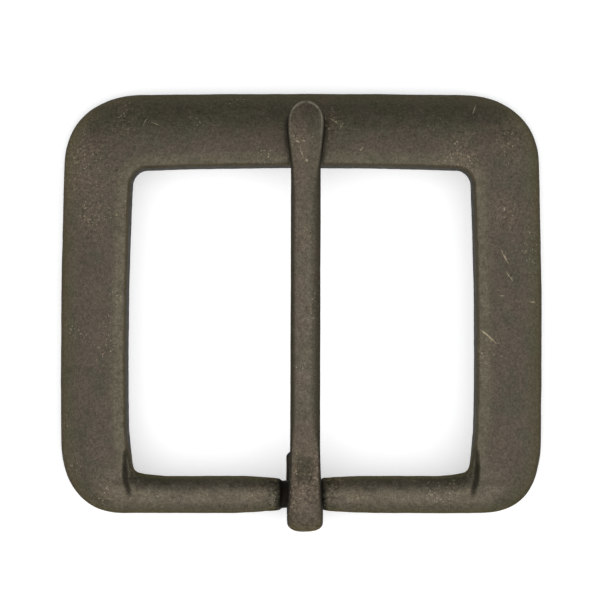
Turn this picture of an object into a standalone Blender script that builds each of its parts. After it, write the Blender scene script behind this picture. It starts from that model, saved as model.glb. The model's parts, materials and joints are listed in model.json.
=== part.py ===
"""Belt buckle: a cast heel-bar frame, and the hooked prong that swings on its bar.

The buckle lies on its flat back. +X runs along the heel bar, +Y points from the bar to the
far rail, and +Z points out of the face. The origin is on the back plane, under the middle
of the whole buckle.
"""

import math

import bmesh
import bpy

MM = 0.001

# Frame, in plan
STRAP_WIDTH = 40.0 * MM  # clear length of the heel bar between the side rails
OPENING_DEPTH = 36.2 * MM  # clear distance from the heel bar to the far rail
SIDE_RAIL_WIDTH = 8.0 * MM
FAR_RAIL_WIDTH = 8.7 * MM
SIDE_SWELL = 0.3 * MM  # the opening is this much wider each side than it is at the bar
SWELL_HEIGHT = 16.0 * MM  # from the bar's axis to the widest place
FAR_CORNER = 8.2 * MM  # outer corner radius beside the far rail
HEEL_CORNER = 6.9 * MM  # outer corner radius beside the heel bar
INNER_CORNER = 1.6 * MM
HEEL_INNER_CORNER = 3.3 * MM  # the same corner where it runs down to the bar
INNER_BOWS = (0.55 * MM, 0.36 * MM)  # sideways at the far rail, and down at the side rails
OUTER_BOWS = (0.35 * MM, 0.12 * MM)

# Frame, in section
RAIL_HEIGHT = 6.75 * MM
WIDEST_HEIGHT = 2.0 * MM  # height at which a rail is widest
CREST_INSET = 1.3 * MM  # from the opening to the highest line of a rail
WALL_DRAFT = 0.5 * MM  # how far the inner wall leans back over its height
BACK_FLATNESS = 1.25  # above 1, the round back is cut off flat
DOME_POWER = 1.9
EDGE_POWER = 5.0
BACK_POWER = 4.0

# Heel bar
BAR_DIAMETER = 4.3 * MM
BAR_HEIGHT = 4.5 * MM  # from the back plane to the bar's axis
NECK_DIAMETER = 3.24 * MM
NECK_LENGTH = 4.66 * MM  # the place that the prong's hook sits in
SHOULDER_STEP = 0.24 * MM  # from the neck out to the thinned bar beside it
TAPER_LENGTH = 5.0 * MM  # over which the bar thins towards its neck

# Prong
SHANK_WIDTH = 3.45 * MM
SHANK_FLARE = 6.0 * MM  # over which the shank widens to its hook
SHANK_THICKNESS = 2.1 * MM  # where it crosses the far rail
TIP_WIDTH = 4.15 * MM
TIP_THICKNESS = 1.4 * MM
TIP_ROUND = 2.4 * MM  # length of the round end
TIP_SPREAD = 5.8 * MM  # over which the shank widens to the tip
TIP_SETBACK = 0.8 * MM  # from the frame's outer edge to the prong's end
TIP_DROP = 1.5 * MM  # how far the end bends down beyond the far rail's crest
TIP_OFFSET = 0.2 * MM  # the shank leans a little to one side
HOOK_WALL = 2.5 * MM
HOOK_BORE_WIDTH = 3.6 * MM
HOOK_WIDTH = 4.15 * MM
TAIL_THICKNESS = 1.5 * MM
TAIL_WIDTH = 3.4 * MM
TAIL_GAP = 0.3 * MM  # the tail ends this far under the shank, so that the hook is closed
TAIL_ANGLE = math.radians(315.0)  # where the hook's arc runs out into its straight tail
TAIL_OFFSET = 0.5 * MM  # the closed hook sits a little askew
PRONG_POWER = 3.2

# Fits
PIVOT_CLEARANCE = 0.3 * MM  # all round, between the neck and the hook
REST_GAP = 0.3 * MM  # between the far rail's crest and the prong at rest
SIDE_CLEARANCE = 0.1 * MM  # between a shoulder of the neck and the hook

# Fineness of the mesh
SECTION_POINTS = 24
CORNER_STEPS = 9
SIDE_STEPS = 6
SHANK_STEPS = 9
HOOK_STEPS = 15

BAR_RADIUS = BAR_DIAMETER / 2
NECK_RADIUS = NECK_DIAMETER / 2
NECK_END = NECK_LENGTH / 2
HALF_STRAP = STRAP_WIDTH / 2
OPENING_END = BAR_RADIUS + OPENING_DEPTH
FRAME_REACH = OPENING_END + FAR_RAIL_WIDTH
HOOK_INNER = NECK_RADIUS + PIVOT_CLEARANCE
HOOK_REACH = HOOK_INNER + HOOK_WALL
AXIS_Y = (HOOK_REACH - FRAME_REACH) / 2
PRONG_X = NECK_END - SIDE_CLEARANCE - HOOK_BORE_WIDTH / 2
CREST_Y = OPENING_END + CREST_INSET
TIP_Y = FRAME_REACH - TIP_SETBACK

BRASS_BROWN = (0.106, 0.088, 0.064, 1.0)
RUBBED_BROWN = (0.130, 0.109, 0.080, 1.0)


def smooth(value):
    """Ease from 0 to 1."""
    value = min(max(value, 0.0), 1.0)
    return value * value * (3 - 2 * value)


def mix(first, second, weight):
    return first + (second - first) * weight


def spread(value, power):
    """One coordinate of a rounded square, with the sign of value."""
    return math.copysign(abs(value) ** (2 / power), value)


def loft(name, rings, closed):
    """A closed body through rings of equally many points."""
    shape = bmesh.new()
    loops = [[shape.verts.new(point) for point in ring] for ring in rings]
    pairs = list(zip(loops, loops[1:]))
    if closed:
        pairs.append((loops[-1], loops[0]))
    else:
        shape.faces.new(loops[0])
        shape.faces.new(loops[-1])
    for ring, following in pairs:
        for here in range(len(ring)):
            after = (here + 1) % len(ring)
            shape.faces.new((ring[here], ring[after], following[after], following[here]))
    bmesh.ops.recalc_face_normals(shape, faces=shape.faces)
    mesh = bpy.data.meshes.new(name)
    shape.to_mesh(mesh)
    shape.free()
    mesh.shade_smooth()
    mesh.set_sharp_from_angle(angle=math.radians(50))
    return mesh


def metal(name, colour, roughness):
    material = bpy.data.materials.new(name)
    material.use_nodes = True
    shader = material.node_tree.nodes["Principled BSDF"]
    shader.inputs["Base Color"].default_value = colour
    shader.inputs["Roughness"].default_value = roughness
    shader.inputs["Metallic"].default_value = 1.0
    material.diffuse_color = colour
    return material


def place(name, mesh, material, collection, location):
    piece = bpy.data.objects.new(name, mesh)
    piece.location = location
    mesh.materials.append(material)
    collection.objects.link(piece)
    return piece


def bar_radius(x):
    """Radius of the heel bar: full, then thinned towards the shoulders, then the neck."""
    from_end = 1 - min(max((abs(x) - NECK_END) / TAPER_LENGTH, 0.0), 1.0)
    thinned = mix(BAR_RADIUS, NECK_RADIUS + SHOULDER_STEP, from_end**2)
    shoulder = smooth((abs(x) - NECK_END) / (2 * SHOULDER_STEP) + 0.5)
    return mix(NECK_RADIUS, thinned, shoulder)


def bowed(x, y, bows):
    """Bows a point of the straight-sided plan, where Y is measured from the bar's axis."""
    along = (y - SWELL_HEIGHT) / (OPENING_END - SWELL_HEIGHT)
    across = x / HALF_STRAP
    sideways, down = bows
    return (
        x - sideways * along**2 * min(across, 1.0),
        y - down * across**2 * smooth(y / OPENING_END),
    )


def frame_stations():
    """(inner point, outer point, share of bar) round the right half, from the bar's middle."""
    side_x = HALF_STRAP + SIDE_SWELL
    outer_x = side_x + SIDE_RAIL_WIDTH
    bar_end = side_x - INNER_CORNER
    stations = []
    neck_xs = [0.0, NECK_END * 0.5, NECK_END * 0.85, NECK_END, NECK_END * 1.15]
    steps = 6
    straight = [mix(NECK_END * 1.35, bar_end, (step / steps) ** 1.4) for step in range(steps)]
    for x in neck_xs + straight:
        skew = smooth(x / bar_end) * (outer_x - HEEL_CORNER - bar_end)
        stations.append(((x, bar_radius(x)), (x + skew, -bar_radius(x)), 1.0))
    for step in range(CORNER_STEPS + 1):
        turn = math.pi / 2 * step / CORNER_STEPS
        across, along = math.sin(turn), math.cos(turn)
        inner = (
            bar_end + INNER_CORNER * across,
            BAR_RADIUS + HEEL_INNER_CORNER * (1 - along),
        )
        outer = (
            outer_x - HEEL_CORNER * (1 - across),
            -BAR_RADIUS + HEEL_CORNER * (1 - along),
        )
        bar_share = 1 - smooth(step / CORNER_STEPS)
        stations.append((bowed(*inner, INNER_BOWS), bowed(*outer, OUTER_BOWS), bar_share))
    for step in range(1, SIDE_STEPS):
        share = step / SIDE_STEPS
        inner = (side_x, mix(BAR_RADIUS + HEEL_INNER_CORNER, OPENING_END - INNER_CORNER, share))
        outer = (outer_x, mix(HEEL_CORNER - BAR_RADIUS, FRAME_REACH - FAR_CORNER, share))
        stations.append((bowed(*inner, INNER_BOWS), bowed(*outer, OUTER_BOWS), 0.0))
    for step in range(CORNER_STEPS + 1):
        turn = math.pi / 2 * step / CORNER_STEPS
        across, along = math.cos(turn), math.sin(turn)
        inner = (
            side_x - INNER_CORNER * (1 - across),
            OPENING_END - INNER_CORNER * (1 - along),
        )
        outer = (
            outer_x - FAR_CORNER * (1 - across),
            FRAME_REACH - FAR_CORNER * (1 - along),
        )
        stations.append((bowed(*inner, INNER_BOWS), bowed(*outer, OUTER_BOWS), 0.0))
    for step in range(1, SIDE_STEPS + 1):
        share = 1 - step / SIDE_STEPS
        inner = ((side_x - INNER_CORNER) * share, OPENING_END)
        outer = ((outer_x - FAR_CORNER) * share, FRAME_REACH)
        stations.append((bowed(*inner, INNER_BOWS), bowed(*outer, OUTER_BOWS), 0.0))
    return stations


def frame_section(inner, outer, bar_share):
    """One ring of the frame: a flat-backed dome, or the round bar, or a share of each."""
    reach = math.dist(inner, outer)
    heading = ((outer[0] - inner[0]) / reach, (outer[1] - inner[1]) / reach)
    radius = min(BAR_RADIUS, bar_radius(inner[0])) if bar_share == 1.0 else BAR_RADIUS
    ring = []
    for step in range(SECTION_POINTS):
        angle = 2 * math.pi * step / SECTION_POINTS
        outward, upward = math.cos(angle), math.sin(angle)
        if upward < 0:
            power = BACK_POWER
        else:
            power = DOME_POWER if outward > 0 else EDGE_POWER
        rise = spread(upward, power)
        if rise > 0:
            height = mix(WIDEST_HEIGHT, RAIL_HEIGHT, rise)
        else:
            height = max(0.0, WIDEST_HEIGHT * (1 + rise * BACK_FLATNESS))
        if outward > 0:
            across = CREST_INSET + (reach - CREST_INSET) * spread(outward, power)
        else:
            wall = WALL_DRAFT * height / RAIL_HEIGHT
            across = CREST_INSET + (CREST_INSET - wall) * spread(outward, power)
        across = mix(across, reach / 2 * (1 + outward), bar_share)
        height = mix(height, BAR_HEIGHT + radius * upward, bar_share)
        x = inner[0] + heading[0] * across
        y = inner[1] + heading[1] * across
        ring.append((x, y + AXIS_Y, height))
    return ring


def make_frame():
    half = [frame_section(*station) for station in frame_stations()]
    mirrored = [[(-x, y, z) for x, y, z in ring] for ring in reversed(half[1:-1])]
    return loft("buckle_frame", half + mirrored, closed=True)


def underside(y):
    """Height of the shank's underside over the bar's axis."""
    over_rail = RAIL_HEIGHT - BAR_HEIGHT + REST_GAP
    if y <= CREST_Y:
        return mix(HOOK_INNER, over_rail, y / CREST_Y)
    return over_rail - TIP_DROP * ((y - CREST_Y) / (TIP_Y - CREST_Y)) ** 2


def shank_thickness(y):
    if y <= CREST_Y:
        return mix(HOOK_WALL, SHANK_THICKNESS, y / CREST_Y)
    return mix(SHANK_THICKNESS, TIP_THICKNESS, (y - CREST_Y) / (TIP_Y - CREST_Y))


def lean(y):
    return TIP_OFFSET * y / TIP_Y


def prong_stations():
    """(shift in X, Y, Z, half width, half thickness) from the tip to the end of the tail."""
    stations = []
    widest = TIP_Y - TIP_ROUND
    for degrees in (84, 70, 54, 36, 18, 0):
        turn = math.radians(degrees)
        y = widest + TIP_ROUND * math.sin(turn)
        half = shank_thickness(y) / 2
        middle = underside(y) + half
        half *= mix(math.cos(turn), 1.0, 0.45)
        stations.append((lean(y), y, middle, TIP_WIDTH / 2 * math.cos(turn), half))
    near_tip = [widest - TIP_SPREAD * share for share in (0.25, 0.5, 0.75, 1.0)]
    shank = [(widest - TIP_SPREAD) * (1 - step / SHANK_STEPS) for step in range(1, SHANK_STEPS)]
    for y in near_tip + shank:
        width = mix(TIP_WIDTH, SHANK_WIDTH, smooth((widest - y) / TIP_SPREAD))
        width = mix(HOOK_BORE_WIDTH, width, smooth(y / SHANK_FLARE))
        half = shank_thickness(y) / 2
        stations.append((lean(y), y, underside(y) + half, width / 2, half))
    for step in range(HOOK_STEPS + 1):
        share = step / HOOK_STEPS
        turn = mix(math.pi / 2, TAIL_ANGLE, share)
        thinned = smooth((turn - math.pi) / (TAIL_ANGLE - math.pi))
        half = mix(HOOK_WALL, TAIL_THICKNESS, thinned) / 2
        swell = smooth((turn - math.pi / 2) * 2 / math.pi)
        width = mix(mix(HOOK_BORE_WIDTH, HOOK_WIDTH, swell), TAIL_WIDTH, thinned)
        radius = HOOK_INNER + half
        shift = -TAIL_OFFSET * thinned
        stations.append((shift, radius * math.cos(turn), radius * math.sin(turn), width / 2, half))
    shift, y, z, width, half = stations[-1]
    along_y, along_z = -math.sin(TAIL_ANGLE), math.cos(TAIL_ANGLE)
    tail_length = (HOOK_INNER - TAIL_GAP - half * along_y - z) / along_z
    for share, narrowed in ((0.5, 1.0), (0.93, 1.0), (1.0, 0.7)):
        reach = tail_length * share
        spot = (y + along_y * reach, z + along_z * reach)
        stations.append((shift, *spot, width * narrowed, half * narrowed))
    return stations


def prong_section(before, here, after):
    """A rounded oblong, square to the prong's bent middle line."""
    run_y, run_z = after[1] - before[1], after[2] - before[2]
    length = math.hypot(run_y, run_z)
    normal_y, normal_z = run_z / length, -run_y / length
    shift, y, z, half_width, half_thickness = here
    ring = []
    for step in range(SECTION_POINTS):
        angle = 2 * math.pi * step / SECTION_POINTS
        across = half_width * spread(math.cos(angle), PRONG_POWER)
        out = half_thickness * spread(math.sin(angle), PRONG_POWER)
        ring.append((shift + across, y + normal_y * out, z + normal_z * out))
    return ring


def make_prong():
    """Built about the bar's axis, which the prong turns on."""
    path = prong_stations()
    padded = [path[0]] + path + [path[-1]]
    rings = [prong_section(*padded[index : index + 3]) for index in range(len(path))]
    return loft("prong", rings, closed=False)


def clear_scene():
    for piece in list(bpy.data.objects):
        bpy.data.objects.remove(piece, do_unlink=True)


def main():
    clear_scene()
    buckle = bpy.data.collections.new("belt_buckle")
    bpy.context.scene.collection.children.link(buckle)
    frame_metal = metal("antiqued_brass", BRASS_BROWN, 0.55)
    prong_metal = metal("rubbed_brass", RUBBED_BROWN, 0.5)
    place("buckle_frame", make_frame(), frame_metal, buckle, (0.0, 0.0, 0.0))
    place("prong", make_prong(), prong_metal, buckle, (PRONG_X, AXIS_Y, BAR_HEIGHT))


main()
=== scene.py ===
# %% [markdown]
# # A heel-bar belt buckle
# This lesson makes a gentleman's belt buckle in two pieces: a cast brass frame with a round
# bar along its heel, and a prong that hooks round the bar and rests on the far rail. Both
# are antiqued, which means darkened with a chemical and then rubbed back by hand.
# The sizes are already settled in a measured model, so the first step loads it. Working from
# measured boxes keeps every later shape in its true place, with nothing fitted by eye.

# %% Load the measured buckle
import json
import math
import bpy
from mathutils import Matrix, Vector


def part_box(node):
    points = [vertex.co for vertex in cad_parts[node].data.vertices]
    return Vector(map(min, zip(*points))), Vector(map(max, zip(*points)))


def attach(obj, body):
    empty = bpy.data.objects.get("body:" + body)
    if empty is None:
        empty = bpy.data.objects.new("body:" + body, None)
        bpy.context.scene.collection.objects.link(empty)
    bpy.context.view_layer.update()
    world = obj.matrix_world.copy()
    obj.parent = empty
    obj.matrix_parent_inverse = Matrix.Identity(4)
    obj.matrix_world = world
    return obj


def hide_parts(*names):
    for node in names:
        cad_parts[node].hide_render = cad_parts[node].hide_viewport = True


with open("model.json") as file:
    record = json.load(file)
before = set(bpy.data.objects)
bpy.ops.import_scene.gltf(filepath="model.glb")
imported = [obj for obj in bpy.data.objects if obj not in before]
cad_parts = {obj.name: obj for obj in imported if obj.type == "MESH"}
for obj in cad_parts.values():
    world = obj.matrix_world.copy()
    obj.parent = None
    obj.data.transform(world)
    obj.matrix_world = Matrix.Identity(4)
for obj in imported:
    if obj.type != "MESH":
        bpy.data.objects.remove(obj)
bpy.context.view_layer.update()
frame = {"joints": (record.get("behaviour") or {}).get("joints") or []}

from types import SimpleNamespace

import bpy
import numpy as np
from mathutils import Vector, noise

MM = 0.001

# %% [markdown]
# ## Sizes to work from
# A buckle maker measures everything from the middle of the heel bar, because the prong
# turns on it. The joint gives that middle line, and the boxes of the two measured pieces
# give the reach of the far rail, the half width and the height of the rails. The widths of
# the rails are the only sizes added here.

# %% Measure from the heel bar
frame_low, frame_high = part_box("buckle_frame")
prong_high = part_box("prong")[1]
bar_middle = Vector(frame["joints"][0]["pos_m"])

bar_radius = bar_middle.y - frame_low.y
far_edge = frame_high.y - bar_middle.y
half_width = frame_high.x
rail_height = frame_high.z
SIDE_RAIL = 8.0 * MM
FAR_RAIL = 8.77 * MM
opening_side = half_width - SIDE_RAIL
opening_end = far_edge - FAR_RAIL
print(f"bar {2000 * bar_radius:.2f} mm thick, opening {2000 * opening_side:.1f} mm wide")


# %% [markdown]
# ## Easing and blending
# Cast metal has no sudden changes, so one shape has to run softly into the next. Two small
# helpers do that everywhere below: `ease` goes from 0 to 1 with no corner at either end,
# and `mix` goes from one value to another. Both work on single numbers and on whole rows of
# numbers, which keeps the later cells short.

# %% Easing helpers
def ease(value, start=0.0, end=1.0):
    """From 0 at start to 1 at end, with a soft beginning and a soft finish."""
    share = np.clip((value - start) / (end - start), 0.0, 1.0)
    return share * share * (3 - 2 * share)


def mix(first, second, share):
    return first + (second - first) * share


def band(value, start, full, last, end):
    """1 between full and last, fading to 0 at start and at end."""
    return ease(value, start, full) * (1 - ease(value, last, end))


def spread(value, power):
    """One coordinate of a rounded square: a higher power gives squarer corners."""
    return np.sign(value) * np.abs(value) ** (2 / power)


print("halfway through, ease gives", float(ease(0.5)))

# %% [markdown]
# ## The heel bar's thickness
# The bar is one casting with the rails. It is full at its ends, thins gently towards the
# middle, and then drops by a small shoulder on each side to a neck where the prong's hook
# sits, so that the hook can't wander along the bar. A lathe would turn this shape, and here
# a radius for each place along the bar says the same thing.

# %% Thickness along the bar
NECK_RADIUS = 1.62 * MM
NECK_END = 2.33 * MM
SHOULDER_STEP = 0.24 * MM
TAPER = 5.0 * MM


def bar_radius_at(x):
    from_end = 1 - np.clip((abs(x) - NECK_END) / TAPER, 0.0, 1.0)
    thinned = mix(bar_radius, NECK_RADIUS + SHOULDER_STEP, from_end**2)
    return mix(NECK_RADIUS, thinned, ease((abs(x) - NECK_END) / (2 * SHOULDER_STEP) + 0.5))


for place in (0.0, 3.0, 8.0):
    print(f"{place} mm out, the bar is {2000 * bar_radius_at(place * MM):.2f} mm thick")


# %% [markdown]
# ## The frame seen from above
# The frame is a rounded oblong whose sides swell a little, with a tight corner inside and a
# fuller one outside. It could be drawn as two curves and filled, but then its thickness
# would have to be guessed afterwards. Instead each station pairs a point on the opening's
# edge with a point on the outer edge, and a section is hung between the two. The stations
# run round the right half, and the left half is their mirror image.

# %% Corners and bows of the plan
FAR_CORNER = (9.2 * MM, 8.1 * MM)  # how far the outer corner runs across, and along
HEEL_CORNER = (7.4 * MM, 8.4 * MM)
CORNER_POWER = 2.3  # 2 would give a plain quarter of an oval
INNER_CORNER = 1.6 * MM
INNER_BOWS = (0.55 * MM, 0.36 * MM)  # how far the sides, and the far rail, are bowed
OUTER_BOWS = (0.35 * MM, 0.12 * MM)
SWELL_AT = 16.0 * MM  # the frame is widest this far from the bar
STRAP_PLAY = 0.3 * MM
half_strap = opening_side - STRAP_PLAY
bar_end = opening_side - INNER_CORNER


def bowed(x, y, bows):
    """Bows a point of the straight-sided plan, sideways and downwards."""
    along = (y - SWELL_AT) / (opening_end - SWELL_AT)
    across = x / half_strap
    return (
        x - bows[0] * along**2 * min(across, 1.0),
        y - bows[1] * across**2 * ease(y / opening_end),
    )


print(f"the bar is straight for {2 * bar_end / MM:.1f} mm")

# %% [markdown]
# ## The opening's heel corners
# Where the bar meets a side rail, the opening has no clean right angle. The corner is tight
# at its point, and the metal is filled a little on each side of it. A plain round corner
# would be too open. Instead one curve leaves the bar and joins the rail, and a strong pull
# draws its middle towards a point close to the true corner.

# %% Curve of the opening's heel corner
CORNER_RUN = (4.35 * MM, 5.5 * MM)  # where the curve leaves the bar, and joins the rail
CORNER_TUCK = (0.36 * MM, 0.36 * MM)  # how far its point is from the true corner
CORNER_PULL = 6.5  # 1 would give an easy bend, and more gives a sharper one
rise_start = bar_radius + CORNER_RUN[1]


def heel_inner_curve(steps=600):
    """The opening's heel corner: two nearly straight runs drawn towards one point."""
    t = np.linspace(0, 1, steps)
    pull = 2 * CORNER_PULL * t * (1 - t)
    total = (1 - t) ** 2 + pull + t**2
    back = (CORNER_RUN[0] * (1 - t) ** 2 + CORNER_TUCK[0] * pull) / total
    along = (CORNER_TUCK[1] * pull + CORNER_RUN[1] * t**2) / total
    return opening_side - back, bar_radius + along


corner_x, corner_y = heel_inner_curve()
from_bar = corner_x >= bar_end
corner_walk = np.cumsum(np.hypot(np.gradient(corner_x), np.gradient(corner_y)) * from_bar)
print(f"from the bar's end the curve runs for {corner_walk[-1] / MM:.1f} mm")

# %% [markdown]
# ## Stations along the heel
# Along the bar the two edges follow its thickness, and the heel's edge is a hair fuller near
# the rails. Round the corner the outer edge turns through its whole curve, while the inner
# edge only turns its tight point. The last value of a station is how much of a bar it still
# is, so that the round bar changes into a domed rail on its way round.

# %% Stations along the bar and round its corner
HEEL_SWELL = 0.08 * MM
LAST_GAP = 0.32 * MM  # left free for the first station of the corner
RAIL_FROM = 0.75  # how far round the corner the section is a rail


def heel_edge(x):
    """How far the bar reaches towards the heel, a little more beside the rails."""
    return bar_radius_at(x) + HEEL_SWELL * ease(x, 4 * MM, 10 * MM)


def bar_stations(neck_steps=26, bar_steps=44):
    near = np.linspace(0.0, 1.5 * NECK_END, neck_steps)
    far = np.linspace(near[-1], bar_end - LAST_GAP, bar_steps)[1:]
    for x in np.concatenate([near, far]):
        skew = ease(x / bar_end) * (half_width - HEEL_CORNER[0] - bar_end)
        filled = np.interp(x, corner_x, corner_y, left=bar_radius) - bar_radius
        yield (x, bar_radius_at(x) + filled), (x + skew, -heel_edge(x)), 1.0


def heel_corner_stations(steps=34):
    for step in range(1, steps + 1):
        turn = math.pi / 2 * step / steps
        across, along = math.sin(turn), 1 - math.cos(turn)
        walked = corner_walk[-1] * step / steps
        inner = [float(np.interp(walked, corner_walk, c)) for c in (corner_x, corner_y)]
        back, up = 1 - spread(across, CORNER_POWER), 1 - spread(1 - along, CORNER_POWER)
        heel = bar_radius + HEEL_SWELL * (1 - up)
        outer = (half_width - HEEL_CORNER[0] * back, HEEL_CORNER[1] * up - heel)
        bar_share = 1 - ease(step / steps / RAIL_FROM)
        yield bowed(*inner, INNER_BOWS), bowed(*outer, OUTER_BOWS), bar_share


heel_stations = [*bar_stations(), *heel_corner_stations()]
print(len(heel_stations), "stations along the heel")

# %% [markdown]
# ## Stations along the rails
# The rest of the walk is three plain runs: up the side rail, round the far corner, and in
# along the far rail to the middle line. The corner needs its stations closer together,
# because that is where the outline turns.

# %% Stations along the side rail and the far rail
def rail_stations(side_steps=66, corner_steps=34, far_steps=52):
    for share in np.linspace(0, 1, side_steps)[1:]:
        inner = (opening_side, mix(rise_start, opening_end - INNER_CORNER, share))
        outer = (half_width, mix(HEEL_CORNER[1] - bar_radius, far_edge - FAR_CORNER[1], share))
        yield bowed(*inner, INNER_BOWS), bowed(*outer, OUTER_BOWS), 0.0
    for turn in np.linspace(0, math.pi / 2, corner_steps)[1:]:
        back, along = 1 - math.cos(turn), 1 - math.sin(turn)
        inner = (opening_side - INNER_CORNER * back, opening_end - INNER_CORNER * along)
        back, along = 1 - spread(1 - back, CORNER_POWER), 1 - spread(1 - along, CORNER_POWER)
        outer = (half_width - FAR_CORNER[0] * back, far_edge - FAR_CORNER[1] * along)
        yield bowed(*inner, INNER_BOWS), bowed(*outer, OUTER_BOWS), 0.0
    for share in np.linspace(1, 0, far_steps)[1:]:
        inner = ((opening_side - INNER_CORNER) * share, opening_end)
        outer = ((half_width - FAR_CORNER[0]) * share, far_edge)
        yield bowed(*inner, INNER_BOWS), bowed(*outer, OUTER_BOWS), 0.0


stations = [*heel_stations, *rail_stations()]
print(len(stations), "stations round half the frame")

# %% [markdown]
# ## Even rings of points
# A mesh shades well when its points lie close together where the surface turns, and can be
# further apart where it is flat. Sampling a rounded square by angle does the reverse on its
# long sides. So each outline is drawn very finely first, and then walked round again in
# equal steps, where both distance and turning count towards a step.

# %% Walk round an outline in even steps
OUTLINE_POINTS = 720
TURN_WORTH = 1.1 * MM


def even_ring(across, height, count):
    """The same closed outline through count points, closer together where it turns."""
    run = np.roll(across, -1) - across
    rise = np.roll(height, -1) - height
    length = np.hypot(run, rise) + 1e-9
    cosine = (run * np.roll(run, 1) + rise * np.roll(rise, 1)) / (length * np.roll(length, 1))
    turning = np.arccos(np.clip(cosine, -1, 1))
    worth = length + TURN_WORTH * 0.5 * (turning + np.roll(turning, -1))
    walked = np.concatenate([[0.0], np.cumsum(worth)])
    stops = np.linspace(0, walked[-1], count, endpoint=False)
    around = np.append(across, across[0]), np.append(height, height[0])
    return np.interp(stops, walked, around[0]), np.interp(stops, walked, around[1])


circle = 2 * math.pi * np.arange(OUTLINE_POINTS) / OUTLINE_POINTS
print("an outline has", len(circle), "points before it is evened out")

# %% [markdown]
# ## The section of a rail
# A rail has a flat back for lying against the belt, a steep inner wall that leans back a
# little so that the casting leaves its mould, a crest close to the opening, and a long dome
# that falls away to the outer edge. Quarters of rounded squares give all four, each with its
# own squareness. At the heel the same ring turns into a plain circle, which is the bar.

# %% Section of the rail and of the bar
RING_POINTS = 92
WIDEST_HEIGHT = 2.0 * MM
CREST_INSET = 1.3 * MM
WALL_DRAFT = 0.3 * MM
BACK_FLATNESS = 1.25
DOME, EDGE, BACK = 2.15, 7.0, 4.0  # squareness of the dome, the inner wall and the back


def rail_outline(reach):
    outward, upward = np.cos(circle), np.sin(circle)
    power = np.where(upward < 0, BACK, np.where(outward > 0, DOME, EDGE))
    run, rise = spread(outward, power), spread(upward, power)
    above = mix(WIDEST_HEIGHT, rail_height, rise)
    below = np.maximum(0.0, WIDEST_HEIGHT * (1 + rise * BACK_FLATNESS))
    height = np.where(rise > 0, above, below)
    wall = CREST_INSET - WALL_DRAFT * height / rail_height
    return CREST_INSET + run * np.where(outward > 0, reach - CREST_INSET, wall), height


def bar_outline(reach, radius):
    across = reach / 2 * (1 + np.cos(circle))
    return across, bar_middle.z + radius * np.sin(circle)


side_rail = rail_outline(SIDE_RAIL)
print(f"a side rail is {np.ptp(side_rail[0]) / MM:.1f} by {np.ptp(side_rail[1]) / MM:.2f} mm")

# %% [markdown]
# ## The crease at the end of the inner wall
# A side rail's inner wall doesn't stop at the opening's corner. It runs on as a shallow
# crease over the end of the bar, and dies out towards the heel. It could be a groove in the
# section, but it is easier to press it into the finished rings, and the same function then
# says where its painted shade lies.

# %% Crease helper
CREASE_DEPTH, CREASE_WIDTH = 0.5 * MM, 0.24 * MM
CREASE_START, CREASE_DRIFT = 0.20 * MM, 0.45 * MM  # inside the opening's edge, then outwards


def crease(x, y):
    """1 along the middle of the crease, fading out beside it and at both its ends."""
    line = opening_side - CREASE_START + CREASE_DRIFT * ease(y, -0.3 * MM, 2.2 * MM)
    beside = np.exp(-(((x - line) / CREASE_WIDTH) ** 2))
    return beside * band(y, -1.0 * MM, 0.8 * MM, 3.4 * MM, 6.0 * MM)


print(f"the crease is {CREASE_DEPTH / MM} mm deep")

# %% [markdown]
# ## Where the polishing cloth bites, and painted highlights
# An antiqued casting is dark all over and is then rubbed back. The cloth bites on the crest
# beside the opening and along the top of the bar, and a little less on the far rail. The same
# lighter tone is also a painted highlight of the overhead light on the flat crest and along
# the bar's top, and it is made weaker on the bar's heel side. A number from 0 to 1 for each
# point records this for the finish. It could be painted on by hand later, but here the crest
# and the bar's top still have names.

# %% Rubbed and highlighted places on the frame
# The crest's lighter tone is partly wear and partly a painted highlight.
CREST_WEAR_AND_HIGHLIGHT, LESS_ON_FAR_RAIL = 0.8, 0.3
# How much weaker the bar's rubbed tone and painted highlight are on its heel side.
LESS_TOWARDS_HEEL = 0.4


def crest_at(across, height):
    top = ease(height, 0.80 * rail_height, 0.95 * rail_height)
    return band(across, 0.30 * MM, 0.50 * MM, 1.4 * MM, 2.2 * MM) * top


def bar_top_at(y, height):
    top = ease(height - bar_middle.z, 0.55 * bar_radius, 0.95 * bar_radius)
    return top * (1 - LESS_TOWARDS_HEEL * ease(-y, 0.05 * bar_radius, 0.6 * bar_radius))


# Wear, with a painted highlight on the crest and along the bar's top.
def rubbed_and_highlight_at(y, across, height, bar_share):
    at_far_rail = ease(y, opening_end - 1.0 * MM, opening_end)
    on_rail = (CREST_WEAR_AND_HIGHLIGHT - LESS_ON_FAR_RAIL * at_far_rail) * crest_at(across, height)
    return mix(on_rail, bar_top_at(y, height), bar_share)


print("the top of the bar is rubbed", float(bar_top_at(0.0, bar_middle.z + bar_radius)))

# %% [markdown]
# ## Where painted shade lies
# The inner walls, the creases and the neck of the bar, where shade falls, are painted nearly
# black as painted shade. The outer skirt, the foot of the rails, the outer part of the far
# rail and the bar's flank towards the opening get a thinner painted shade. A second number
# records how dark this is at each point.

# %% Painted shade on the frame
# How dark the painted shade is: inner walls, outer skirt, far rail, bar flank, foot and crease.
WALL_SHADE, SKIRT_SHADE, FAR_EDGE_SHADE = 0.965, 0.65, 0.35
BAR_FLANK_SHADE, MORE_BY_RAILS = 0.12, 0.2
FOOT_SHADE, CREASE_SHADE = 0.6, 0.92


def foot_at(height):
    return 1 - ease(height, 0.3 * MM, 1.6 * MM)


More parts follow.
